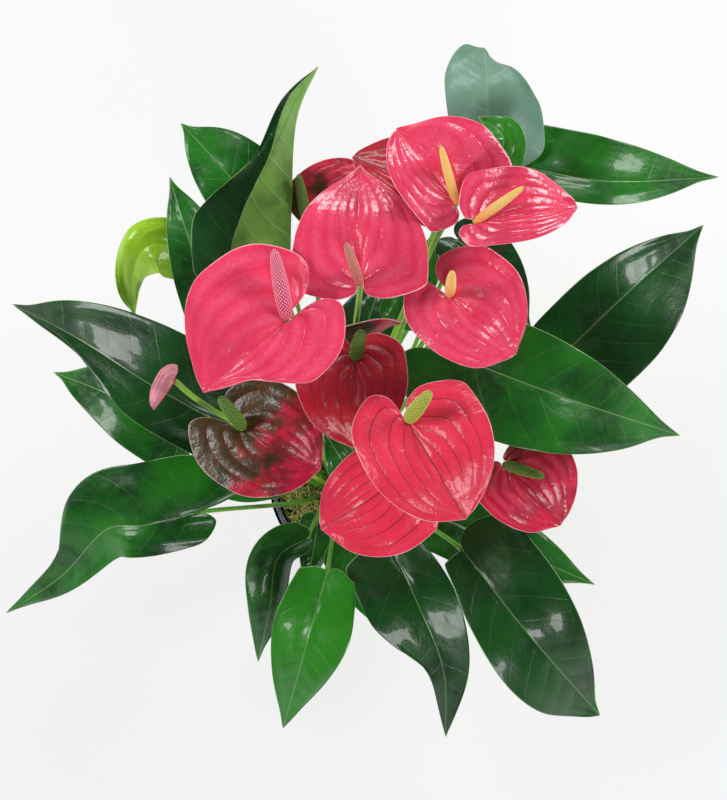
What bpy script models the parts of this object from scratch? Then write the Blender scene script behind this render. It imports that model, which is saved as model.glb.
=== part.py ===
"""Potted anthurium: a thick-walled stone pot, soil, moss, and the leaves and flowers of one crown.

The origin is the centre of the pot's flat underside, +Z is up and the front is -Y. Leaves and flowers are
placed by the middle ridge of each blade, in millimetres from the centre of the pot's rim.
"""
import math
from typing import NamedTuple

import bmesh
import bpy
from mathutils import Vector
from mathutils.geometry import interpolate_bezier

MM = 0.001

# Pot, in metres
POT_RADIUS = 0.060
POT_HEIGHT = 0.120
POT_WALL = 0.009
POT_FLOOR = 0.009
POT_TAPER = 0.014
POT_EDGE = 0.0025
POT_SIDES = 32

# What fills the pot, in metres
FIT_GAP = 0.0004
SOIL_BELOW_RIM = 0.016
MOSS_DEPTH = 0.013
MOSS_LUMP = 0.002
MOSS_WAVES = 7
CROWN_RADIUS = 0.030
CROWN_HEIGHT = 0.017
CROWN_EDGE = 0.003
SOIL_TOP = POT_HEIGHT - SOIL_BELOW_RIM
CROWN_TOP = SOIL_TOP + FIT_GAP + CROWN_HEIGHT

# Stems and blades, in metres
PETIOLE_RADIUS = 0.0018
STALK_RADIUS = 0.0023
STEM_FOOT = 0.002
STEM_BOW = 0.32
PETIOLE_LEAN = 0.4
STALK_UPRIGHT = 2
LEAF_THICKNESS = 0.0010
SPATHE_THICKNESS = 0.0012
COLLAR_GAP = 0.0012
STIPE_LENGTH = 0.0045

# Where stems stand on the crown, as shares of its radius: how far apart, how far out at most, and how far
# out for each metre that the blade is
STEM_SPACING = 0.193
STEM_REACH = 0.823
PETIOLE_SPREAD = 6.33
STALK_SPREAD = 3.33

# The spadix, from its base to its tip: the share of the way, and the share of its full radius
SPADIX_SHAPE = ((0.0, 0.5), (0.12, 0.92), (0.4, 1.0), (0.75, 0.8), (0.94, 0.5), (1.0, 0.2))

# How rough each surface is, from 0 to 1
STONE_ROUGH = 0.85
EARTH_ROUGH = 0.95
CROWN_ROUGH = 0.80
STEM_ROUGH = 0.40
LEAF_ROUGH = 0.25
SPATHE_ROUGH = 0.20

# How finely shapes are divided and joined
MERGE = 1e-6
SHARP_ANGLE = math.radians(40)
CURVE_STEPS = 8
UP = Vector((0, 0, 1))
SPREAD_PASSES = 150
STEM_POINTS = 9
STEM_BEVEL = 1
LANES = 4
ROWS = 8

# Half of a heart-shaped outline, from the notch round the lobe to the tip. Each point is the share of the
# lobe (below zero) or of the length (above zero), and the share of the half width.
HEART = ((0.00, 0.00), (-0.70, 0.10), (-1.00, 0.40), (-0.50, 0.84), (0.14, 1.00),
         (0.42, 0.87), (0.68, 0.53), (0.88, 0.16), (1.00, 0.00))
# Other halves: one that narrows early to a long tip, an egg shape, one widest near its end, and a blunt one.
DRIP = ((0.00, 0.00), (-0.70, 0.10), (-1.00, 0.40), (-0.50, 0.84), (0.14, 1.00),
        (0.34, 0.82), (0.53, 0.37), (0.79, 0.17), (1.00, 0.00))
EGG = ((0.00, 0.00), (-0.60, 0.10), (-0.70, 0.34), (-0.10, 0.66), (0.12, 0.90),
       (0.30, 1.00), (0.56, 0.74), (0.82, 0.30), (1.00, 0.00))
PEAR = ((0.00, 0.00), (-0.30, 0.06), (-0.40, 0.20), (0.00, 0.50), (0.22, 0.80),
        (0.48, 1.00), (0.72, 0.86), (0.90, 0.40), (1.00, 0.00))
BLUNT = ((0.00, 0.00), (-0.70, 0.10), (-1.00, 0.40), (-0.50, 0.84), (0.14, 1.00),
         (0.46, 1.00), (0.74, 0.92), (0.95, 0.56), (1.00, 0.00))
# The same for a spathe, which is rounder and ends in a short point.
BROAD_HEART = ((0.00, 0.00), (-0.66, 0.08), (-1.00, 0.38), (-0.52, 0.84), (0.18, 1.00),
               (0.50, 0.91), (0.76, 0.62), (0.92, 0.26), (1.00, 0.00))
NOTCH_ANGLE = math.radians(150)

# Colours, in linear RGB
POT_COLOUR = (0.045, 0.052, 0.060)
SOIL_COLOUR = (0.030, 0.018, 0.011)
MOSS_COLOUR = (0.110, 0.130, 0.020)
CROWN_COLOUR = (0.090, 0.110, 0.030)
LEAF_COLOUR = (0.012, 0.085, 0.022)
STALK_COLOUR = (0.250, 0.420, 0.060)
PINK = (0.800, 0.040, 0.120)
DEEP_RED = (0.450, 0.010, 0.030)
AGED = (0.220, 0.050, 0.025)


class Blade(NamedTuple):
    """A leaf blade or a spathe. Lengths are millimetres; left and right are as seen with the tip ahead.

    Folds are the angles that the halves rise at, curls are how much these grow by the margins, facing is
    where the upper side looks, sway is how far the stem's lower bow leans in X and Y, and the outlines are
    those of the two halves, where they aren't the plain ones.
    """
    spine: tuple
    widths: tuple
    lobes: tuple
    folds: tuple = (12, 12)
    curls: tuple = (-8, -8)
    facing: tuple = (0, -1, 4)
    sway: tuple = (0, 0)
    outlines: tuple = ()


class Flower(NamedTuple):
    """A spathe, the tip of its spadix, the spadix's radius and the spathe's colour."""
    spathe: Blade
    spadix_tip: tuple
    spadix_radius: float
    colour: tuple = PINK


LEAVES = (
    Blade(((-84, 22, 138), (-137, 48, 160), (-200, 91, 142), (-267, 135, 95)), (31, 46), (15, 6),
          outlines=(DRIP, HEART)),
    Blade(((-122, 18, 115), (-173, 50, 115), (-233, 81, 80)), (30, 30), (17, 15)),
    Blade(((-106, -47, 142), (-138, -56, 148), (-171, -57, 130), (-215, -86, 80), (-272, -111, 30)),
          (24, 46), (18, 44), sway=(0, -18), outlines=(HEART, DRIP)),
    Blade(((-48, -8, 85), (-82, -13, 92), (-120, 2, 80)), (17, 17), (9, 9)),
    Blade(((-23, -57, 82), (-45, -72, 84), (-53, -110, 58), (-66, -149, 5)),
          (17, 22), (6, 8), (-30, 14), sway=(-8, 0), outlines=(EGG, EGG)),
    Blade(((-6, -87, 105), (-20, -135, 95), (-43, -202, 20)), (31, 29), (9, 6), outlines=(EGG, EGG)),
    Blade(((-16, -34, 30), (-20, -64, 35), (-27, -88, 20)), (15, 15), (7, 7), sway=(9, -3)),
    Blade(((11, -59, 54), (42, -103, 57), (77, -137, 16)), (25, 26), (12, 12), (4, 12)),
    Blade(((44, -67, 98), (62, -107, 108), (84, -157, 72), (89, -209, 15)), (30, 40), (6, 10),
          outlines=(EGG, DRIP)),
    Blade(((95, -74, 145), (140, -135, 152), (204, -191, 70)), (44, 36), (12, 4), sway=(0, 9),
          outlines=(HEART, PEAR)),
    Blade(((80, -37, 80), (140, -65, 85), (211, -89, 45)), (29, 29), (11, 11)),
    Blade(((80, 59, 205), (158, 23, 218), (261, 13, 142)), (39, 46), (3, 30), sway=(0, -16)),
    Blade(((175, 76, 145), (227, 123, 165), (296, 190, 130)), (33, 51), (14, 19)),
    Blade(((144, 222, 170), (209, 201, 185), (312, 232, 130)), (35, 22), (15, 15), (12, 25), sway=(14, -6)),
    Blade(((122, 227, 185), (115, 257, 215), (115, 305, 202)), (32, 40), (15, 20), sway=(-6, 5),
          outlines=(BLUNT, HEART)),
    Blade(((121, 204, 205), (124, 217, 225), (107, 239, 215)), (14, 18), (6, 6), (30, 20), sway=(18, -4)),
    Blade(((-33, 119, 180), (-29, 167, 225), (-25, 221, 245), (-11, 272, 230)), (76, 58), (15, 15),
          (0, 140), (-8, -10), outlines=(DRIP, DRIP)),
    Blade(((-59, 196, 135), (-90, 228, 155), (-128, 278, 135)), (29, 37), (12, 12)),
    Blade(((-98, 115, 125), (-115, 170, 150), (-135, 230, 135)), (21, 29), (8, 8)),
    Blade(((-122, 178, 110), (-150, 173, 128), (-168, 158, 100), (-175, 134, 50)), (27, 22), (7, 7),
          outlines=(DRIP, HEART)),
    Blade(((95, 160, 168), (125, 124, 178), (149, 92, 160)), (27, 23), (12, 12), sway=(-10, 8)),
    Blade(((52, 112, 128), (68, 140, 150), (78, 176, 152)), (20, 17), (8, 8), (25, 25), sway=(12, -12)),
    Blade(((14, 84, 84), (26, 118, 100), (40, 168, 92)), (30, 26), (12, 12), sway=(-6, 0)),
    Blade(((13, -11, 110), (3, 1, 130), (-9, 20, 135)), (15, 15), (6, 6)),
)

FLOWERS = (
    Flower(Blade(((-27, 58, 280), (-53, 32, 282), (-82, 14, 260)), (42, 58), (32, 34),
                 outlines=(DRIP, BROAD_HEART)), (-34, 94, 310), 5),
    Flower(Blade(((20, 85, 272), (19, 123, 285), (20, 174, 265)),
                 (44, 45), (9, 9), sway=(0, 16), outlines=(HEART, HEART)), (11, 97, 312), 3.5),
    Flower(Blade(((83, 135, 288), (61, 156, 304), (44, 187, 292)), (26, 46), (8, 18)), (71, 160, 320), 3),
    Flower(Blade(((80, 159, 245), (49, 172, 252), (14, 194, 238)),
                 (25, 33), (11, 30), sway=(18, -4)), (62, 168, 262), 3, DEEP_RED),
    Flower(Blade(((94, 119, 295), (125, 119, 305), (163, 133, 285)),
                 (32, 17), (8, 10)), (122, 129, 325), 3),
    Flower(Blade(((79, 80, 265), (101, 58, 268), (124, 44, 248)),
                 (41, 35), (21, 24), sway=(8, -6)), (78, 81, 304), 3.5),
    Flower(Blade(((16, 52, 215), (18, 16, 220), (20, -11, 202)),
                 (36, 42), (17, 17)), (21, 63, 242), 5, DEEP_RED),
    Flower(Blade(((51, -2, 252), (69, -37, 258), (89, -65, 235)), (46, 40), (14, 26)), (64, 7, 288), 5),
    Flower(Blade(((47, -29, 185), (20, -48, 188), (-8, -62, 170)), (45, 34), (13, 11)), (52, -12, 208), 4),
    Flower(Blade(((-62, 4, 205), (-34, -12, 210), (-8, -23, 192)),
                 (40, 42), (21, 35), sway=(0, -14)), (-74, 16, 242), 5, AGED),
    Flower(Blade(((123, -17, 180), (143, -39, 182), (164, -58, 162)),
                 (40, 32), (6, 8)), (147, -31, 205), 4, AGED),
    Flower(Blade(((-19, 154, 215), (4, 173, 225), (31, 195, 210)),
                 (28, 29), (2, 4)), (-24, 179, 242), 4, AGED),
    Flower(Blade(((-109, 34, 220), (-113, 24, 224), (-123, 15, 212)), (11, 11), (9, 9), (40, 40), (45, 45),
                 (-3, 1, 2), (0, 10)), (-115, 31, 225), 0.8),
    Flower(Blade(((3, 69, 198), (27, 75, 202), (51, 87, 192)), (14, 14), (7, 7), (0, 0), (-10, -10),
                 (0, -5, 1)), (13, 58, 206), 3, AGED),
)


def clear_scene():
    for old in list(bpy.data.objects):
        bpy.data.objects.remove(old, do_unlink=True)


def material(name, colour, roughness):
    made = bpy.data.materials.new(name)
    made.use_nodes = True
    shader = made.node_tree.nodes["Principled BSDF"]
    shader.inputs["Base Color"].default_value = (*colour, 1)
    shader.inputs["Roughness"].default_value = roughness
    shader.inputs["Metallic"].default_value = 0.0
    return made


def add_object(name, data, colour, roughness):
    made = bpy.data.objects.new(name, data)
    bpy.context.scene.collection.objects.link(made)
    data.materials.append(material(name, colour, roughness))
    return made


def mesh_from(bm, name):
    bmesh.ops.recalc_face_normals(bm, faces=bm.faces)
    mesh = bpy.data.meshes.new(name)
    bm.to_mesh(mesh)
    bm.free()
    mesh.shade_smooth()
    return mesh


def turned(profile, ring=False):
    """A mesh turned about Z from (radius, height) corners; an open profile starts and ends on Z."""
    bm = bmesh.new()
    verts = [bm.verts.new((radius, 0, height)) for radius, height in profile]
    edges = [bm.edges.new(pair) for pair in zip(verts, verts[1:] + verts[:1] if ring else verts[1:])]
    bmesh.ops.spin(bm, geom=verts + edges, cent=(0, 0, 0), axis=(0, 0, 1), dvec=(0, 0, 0),
                   angle=math.tau, steps=POT_SIDES, use_merge=True)
    bmesh.ops.remove_doubles(bm, verts=bm.verts, dist=MERGE)
    return bm


def pot_outer_radius(height):
    return POT_RADIUS - POT_TAPER * (1 - height / POT_HEIGHT)


def pot_inner_radius(height):
    return pot_outer_radius(height) - POT_WALL


def make_pot():
    foot = pot_outer_radius(0)
    inner = pot_inner_radius(POT_HEIGHT)
    profile = (
        (0, 0),
        (foot - POT_EDGE, 0),
        (pot_outer_radius(POT_EDGE), POT_EDGE),
        (pot_outer_radius(POT_HEIGHT - POT_EDGE), POT_HEIGHT - POT_EDGE),
        (POT_RADIUS - POT_EDGE, POT_HEIGHT),
        (inner + POT_EDGE, POT_HEIGHT),
        (pot_inner_radius(POT_HEIGHT - POT_EDGE), POT_HEIGHT - POT_EDGE),
        (pot_inner_radius(POT_FLOOR), POT_FLOOR),
        (0, POT_FLOOR),
    )
    mesh = mesh_from(turned(profile), "pot")
    mesh.set_sharp_from_angle(angle=SHARP_ANGLE)
    add_object("pot", mesh, POT_COLOUR, STONE_ROUGH)


def make_soil():
    bottom = POT_FLOOR + FIT_GAP
    profile = (
        (0, bottom),
        (pot_inner_radius(bottom) - FIT_GAP, bottom),
        (pot_inner_radius(SOIL_TOP) - FIT_GAP, SOIL_TOP),
        (0, SOIL_TOP),
    )
    mesh = mesh_from(turned(profile), "potting_soil")
    add_object("potting_soil", mesh, SOIL_COLOUR, EARTH_ROUGH)


def make_moss():
    """A ring between the crown and the wall, with a lumpy top."""
    bottom = SOIL_TOP + FIT_GAP
    top = bottom + MOSS_DEPTH
    inner = CROWN_RADIUS + FIT_GAP
    outer = pot_inner_radius(bottom) - FIT_GAP
    middle = (inner + outer) / 2
    profile = ((inner, bottom), (outer, bottom), (outer, top), (middle, top), (inner, top))
    bm = turned(profile, ring=True)
    for vert in bm.verts:
        if vert.co.z > bottom + MERGE:
            turn = math.atan2(vert.co.y, vert.co.x)
            vert.co.z += MOSS_LUMP * math.sin(MOSS_WAVES * turn) * math.cos(vert.co.x / MOSS_LUMP)
    add_object("moss", mesh_from(bm, "moss"), MOSS_COLOUR, EARTH_ROUGH)


def make_crown():
    bottom = SOIL_TOP + FIT_GAP
    profile = (
        (0, bottom),
        (CROWN_RADIUS, bottom),
        (CROWN_RADIUS, CROWN_TOP - CROWN_EDGE),
        (CROWN_RADIUS - CROWN_EDGE, CROWN_TOP),
        (0, CROWN_TOP),
    )
    add_object("crown", mesh_from(turned(profile), "crown"), CROWN_COLOUR, CROWN_ROUGH)


def above_rim(point):
    """A table point, in millimetres from the centre of the rim, as a place in the part's frame."""
    return Vector(point) * MM + Vector((0, 0, POT_HEIGHT))


def smooth_through(points, steps):
    """Points of a Catmull-Rom curve through the given ones, with so many steps in each stretch."""
    ends = [points[0] * 2 - points[1], *points, points[-1] * 2 - points[-2]]
    found = []
    for before, start, end, after in zip(ends, ends[1:], ends[2:], ends[3:]):
        for step in range(steps):
            t = step / steps
            found.append(0.5 * (2 * start + (end - before) * t
                                + (2 * before - 5 * start + 4 * end - after) * t ** 2
                                + (3 * start - before - 3 * end + after) * t ** 3))
    return found + [points[-1]]


def along(points, share):
    """The point at a share of the way through a list of points, which are evenly spaced in share."""
    place = min(max(share, 0), 1) * (len(points) - 1)
    index = min(int(place), len(points) - 2)
    return points[index].lerp(points[index + 1], place - index)


class Ridge:
    """The curve that the middle of a blade follows, with the directions across and out of the blade."""

    def __init__(self, blade):
        raw = smooth_through([above_rim(point) for point in blade.spine], CURVE_STEPS)
        reach = [0]
        for start, end in zip(raw, raw[1:]):
            reach.append(reach[-1] + (end - start).length)
        self.length = reach[-1]
        self.points = raw
        self.reach = reach
        self.facing = Vector(blade.facing)

    def frame(self, distance):
        """(point, forward, right, normal) at a distance from the attachment, or behind it if negative."""
        index = 1
        while index < len(self.reach) - 1 and self.reach[index] < distance:
            index += 1
        start, end = self.points[index - 1], self.points[index]
        share = (distance - self.reach[index - 1]) / (self.reach[index] - self.reach[index - 1])
        forward = (end - start).normalized()
        right = forward.cross(self.facing).normalized()
        return start + (end - start) * share, forward, right, right.cross(forward)


def outline_point(shape, share, length, width, lobe):
    """A point of half a flat outline: (along the ridge, out from it)."""
    corner = along(shape, share)
    return Vector((corner.x * (lobe if corner.x < 0 else length), corner.y * width))


def flat_point(blade, shape, lane, share, length, collar):
    """Where a lane is at a share of its way to the tip. Lanes go from -1, the left margin, to 1."""
    side = lane > 0
    margin = outline_point(shape, share, length, blade.widths[side] * MM, blade.lobes[side] * MM)
    inner = Vector((length * share, 0)).lerp(margin, abs(lane))
    turn = NOTCH_ANGLE * abs(lane)
    return inner + Vector((math.cos(turn), math.sin(turn))) * collar * (1 - share) ** 2


def blade_mesh(name, blade, shapes, collar):
    """The blade as a sheet: rows from the attachment to the tip, lanes from the left margin to the right."""
    ridge = Ridge(blade)
    outlines = [smooth_through([Vector(corner) for corner in shape], CURVE_STEPS) for shape in shapes]
    bm = bmesh.new()
    grid = bmesh.ops.create_grid(bm, x_segments=LANES, y_segments=ROWS, size=1)["verts"]
    for vert in grid:
        lane, share = vert.co.x, (vert.co.y + 1) / 2
        side = lane > 0
        flat = flat_point(blade, outlines[side], lane, share, ridge.length, collar)
        point, _, right, normal = ridge.frame(flat.x)
        width = blade.widths[side] * MM
        tilt = math.radians(blade.folds[side] + blade.curls[side] * flat.y / width)
        sideways = math.cos(tilt) * flat.y * (1 if side else -1)
        vert.co = point + right * sideways + normal * math.sin(tilt) * flat.y
    bmesh.ops.remove_doubles(bm, verts=bm.verts, dist=MERGE)
    return mesh_from(bm, name)


def solidify(made, thickness):
    modifier = made.modifiers.new("Thickness", "SOLIDIFY")
    modifier.thickness = thickness
    modifier.offset = 0


def tube(name, points, radii):
    """A closed round tube through points, with a radius at each."""
    curve = bpy.data.curves.new(name, "CURVE")
    curve.dimensions = "3D"
    curve.bevel_depth = 1
    curve.bevel_resolution = STEM_BEVEL
    curve.use_fill_caps = True
    spline = curve.splines.new("POLY")
    spline.points.add(len(points) - 1)
    for knot, point, radius in zip(spline.points, points, radii):
        knot.co = (*point, 1)
        knot.radius = radius
    return curve


def mesh_of(curve, name):
    """The tube of a curve as a closed mesh."""
    helper = bpy.data.objects.new(name, curve)
    mesh = bpy.data.meshes.new_from_object(helper)
    bpy.data.objects.remove(helper)
    bm = bmesh.new()
    bm.from_mesh(mesh)
    bmesh.ops.remove_doubles(bm, verts=bm.verts, dist=MERGE)
    return mesh_from(bm, name)


def stem_feet():
    """Where each stem stands on the crown: its blade's place drawn in, then pushed clear of the others."""
    feet = [above_rim(leaf.spine[0]).xy * PETIOLE_SPREAD * CROWN_RADIUS for leaf in LEAVES]
    feet += [above_rim(flower.spathe.spine[0]).xy * STALK_SPREAD * CROWN_RADIUS for flower in FLOWERS]
    spacing = STEM_SPACING * CROWN_RADIUS
    reach = STEM_REACH * CROWN_RADIUS
    for _ in range(SPREAD_PASSES):
        for i, first in enumerate(feet):
            for second in feet[:i]:
                apart = first - second
                if apart.length < spacing:
                    push = apart.normalized() * (spacing - apart.length) / 2
                    first += push
                    second -= push
        for foot in feet:
            if foot.length > reach:
                foot *= reach / foot.length
    return feet


def stem_points(foot, end, arrival, sway):
    """From a foot on the crown straight up, then in one bow to the end, arriving in a given direction."""
    start = Vector((*foot, CROWN_TOP + FIT_GAP))
    rise = start + Vector((0, 0, STEM_FOOT))
    bow = (end - rise).length * STEM_BOW
    lean = rise + Vector((sway[0] * MM, sway[1] * MM, bow))
    path = interpolate_bezier(rise, lean, end - arrival.normalized() * bow, end, STEM_POINTS)
    return [start, *path]


def make_leaf(name, blade, foot):
    """One leaf: its petiole ends inside the blade, and a union makes them one solid."""
    ridge = Ridge(blade)
    point, forward, _, normal = ridge.frame(0)
    path = stem_points(foot, point, normal + forward * PETIOLE_LEAN, blade.sway)
    path.append(point + normal * LEAF_THICKNESS)
    petiole = add_object(name + "_petiole", mesh_of(tube(name, path, [PETIOLE_RADIUS] * len(path)), name),
                         STALK_COLOUR, STEM_ROUGH)
    petiole.hide_render = True
    petiole.display_type = "WIRE"
    mesh = blade_mesh(name, blade, blade.outlines or (HEART, HEART), 0)
    leaf = add_object(name, mesh, LEAF_COLOUR, LEAF_ROUGH)
    solidify(leaf, LEAF_THICKNESS)
    union = leaf.modifiers.new("Petiole", "BOOLEAN")
    union.operation = "UNION"
    union.solver = "EXACT"
    union.object = petiole


def make_flower(number, flower, foot):
    """A spathe that clasps its stalk, and the stalk, which ends in the spadix."""
    spathe = flower.spathe
    point, _, _, normal = Ridge(spathe).frame(0)
    collar = STALK_RADIUS + SPATHE_THICKNESS / 2 + COLLAR_GAP
    name = f"spathe_{number:02}"
    mesh = blade_mesh(name, spathe, spathe.outlines or (BROAD_HEART, BROAD_HEART), collar)
    made = add_object(name, mesh, flower.colour, SPATHE_ROUGH)
    solidify(made, SPATHE_THICKNESS)
    path = stem_points(foot, point - normal * STIPE_LENGTH, normal + UP * STALK_UPRIGHT, spathe.sway)
    radii = [STALK_RADIUS] * len(path)
    base = point + normal * STIPE_LENGTH
    tip = above_rim(flower.spadix_tip)
    for share, size in SPADIX_SHAPE:
        path.append(base.lerp(tip, share))
        radii.append(flower.spadix_radius * MM * size)
    name = f"flower_stalk_{number:02}"
    add_object(name, tube(name, path, radii), STALK_COLOUR, STEM_ROUGH)


def make_plant():
    feet = stem_feet()
    for number, (blade, foot) in enumerate(zip(LEAVES, feet), 1):
        make_leaf(f"leaf_{number:02}", blade, foot)
    for number, (flower, foot) in enumerate(zip(FLOWERS, feet[len(LEAVES):]), 1):
        make_flower(number, flower, foot)


def main():
    clear_scene()
    make_pot()
    make_soil()
    make_moss()
    make_crown()
    make_plant()


main()
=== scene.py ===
import math
import random
from typing import NamedTuple

import bmesh
import bpy
from mathutils import Euler, Matrix, Vector, noise
from mathutils.geometry import interpolate_bezier


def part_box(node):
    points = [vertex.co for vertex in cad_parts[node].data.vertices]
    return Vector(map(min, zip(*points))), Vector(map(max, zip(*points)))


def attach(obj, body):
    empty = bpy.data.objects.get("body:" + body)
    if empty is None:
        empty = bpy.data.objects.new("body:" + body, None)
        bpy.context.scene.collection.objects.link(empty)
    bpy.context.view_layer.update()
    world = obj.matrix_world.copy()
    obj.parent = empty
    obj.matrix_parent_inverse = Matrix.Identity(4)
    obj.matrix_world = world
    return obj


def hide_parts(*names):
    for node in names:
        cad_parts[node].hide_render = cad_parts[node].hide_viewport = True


bl_info = {
    "name": "Potted Anthurium",
    "version": (1, 0, 0),
    "blender": (4, 5, 0),
    "location": "View3D > Sidebar > Anthurium",
    "description": "Grows a flowering anthurium with its leaves, moss and stone pot",
    "category": "Add Mesh",
}

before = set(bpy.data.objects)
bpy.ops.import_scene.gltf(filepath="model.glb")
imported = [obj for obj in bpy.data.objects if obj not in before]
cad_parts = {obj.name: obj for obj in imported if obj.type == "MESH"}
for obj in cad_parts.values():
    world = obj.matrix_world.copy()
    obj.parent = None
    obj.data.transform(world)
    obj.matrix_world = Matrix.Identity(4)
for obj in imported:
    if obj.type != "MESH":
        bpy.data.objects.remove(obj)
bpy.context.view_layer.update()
BODY = "root"
MM = 0.001
UP = Vector((0, 0, 1))
MERGE = 1e-6

# The pot and what fills it, in metres, as the CAD has them
POT_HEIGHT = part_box("pot")[1].z
SOIL_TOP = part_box("potting_soil")[1].z
FIT_GAP = 0.0004
CROWN_RADIUS = 0.030
CROWN_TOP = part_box("crown")[1].z
MOSS_LOW, MOSS_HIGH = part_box("moss")

# Where stems stand on the crown, as shares of its radius, and how they bow
STEM_SPACING = 0.193
STEM_REACH = 0.823
PETIOLE_SPREAD = 6.33
STALK_SPREAD = 3.33
SPREAD_PASSES = 150
STEM_FOOT = 0.002
STEM_BOW = 0.32
PETIOLE_LEAN = 0.4
STALK_UPRIGHT = 2
STEM_POINTS = 40
STIPE_LENGTH = 0.0045
COLLAR = 0.0041
NOTCH_ANGLE = math.radians(150)

# Half of a heart-shaped outline, from the notch round the lobe to the tip. Each point is the share of the
# lobe (below zero) or of the length (above zero), and the share of the half width.
HEART = ((0.00, 0.00), (-0.70, 0.10), (-1.00, 0.40), (-0.50, 0.84), (0.14, 1.00),
         (0.42, 0.87), (0.68, 0.53), (0.88, 0.16), (1.00, 0.00))
# Other halves: one that narrows early to a long tip, an egg shape, one widest near its end, and a blunt one.
DRIP = ((0.00, 0.00), (-0.70, 0.10), (-1.00, 0.40), (-0.50, 0.84), (0.14, 1.00),
        (0.34, 0.82), (0.53, 0.37), (0.79, 0.17), (1.00, 0.00))
EGG = ((0.00, 0.00), (-0.60, 0.10), (-0.70, 0.34), (-0.10, 0.66), (0.12, 0.90),
       (0.30, 1.00), (0.56, 0.74), (0.82, 0.30), (1.00, 0.00))
PEAR = ((0.00, 0.00), (-0.30, 0.06), (-0.40, 0.20), (0.00, 0.50), (0.22, 0.80),
        (0.48, 1.00), (0.72, 0.86), (0.90, 0.40), (1.00, 0.00))
BLUNT = ((0.00, 0.00), (-0.70, 0.10), (-1.00, 0.40), (-0.50, 0.84), (0.14, 1.00),
         (0.46, 1.00), (0.74, 0.92), (0.95, 0.56), (1.00, 0.00))
# The same for a spathe, which is rounder and ends in a short point.
BROAD_HEART = ((0.00, 0.00), (-0.66, 0.08), (-1.00, 0.38), (-0.52, 0.84), (0.18, 1.00),
               (0.50, 0.91), (0.76, 0.62), (0.92, 0.26), (1.00, 0.00))
# The spadix, from its base to its tip: the share of the way, and the share of its full radius
SPADIX_SHAPE = ((0.0, 0.5), (0.12, 0.92), (0.4, 1.0), (0.75, 0.8), (0.94, 0.5), (1.0, 0.2))
CURVE_STEPS = 8

# How finely blades and stems are divided
LEAF_LANES = 36
LEAF_ROWS = 48
SPATHE_LANES = 56
SPATHE_ROWS = 44
STEM_SIDES = 14
SPADIX_AROUND = 13
SPADIX_CELL = 0.0013


class Blade(NamedTuple):
    """A leaf blade or a spathe. Lengths are millimetres; left and right are as seen with the tip ahead.

    Folds are the angles that the halves rise at, curls are how much these grow by the margins, facing is
    where the upper side looks, sway is how far the stem's lower bow leans in X and Y, and the outlines are
    those of the two halves, where they aren't the plain ones. The finish names the surface, and the ripple is how far the margins wave.
    """
    spine: tuple
    widths: tuple
    lobes: tuple
    folds: tuple = (12, 12)
    curls: tuple = (-8, -8)
    facing: tuple = (0, -1, 4)
    sway: tuple = (0, 0)
    outlines: tuple = ()
    finish: str = "mature"
    ripple: float = 1.2


class Flower(NamedTuple):
    """A spathe, the tip of its spadix, the spadix's radius and the spadix's finish."""
    spathe: Blade
    spadix_tip: tuple
    spadix_radius: float
    spadix: str = "green"


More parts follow.
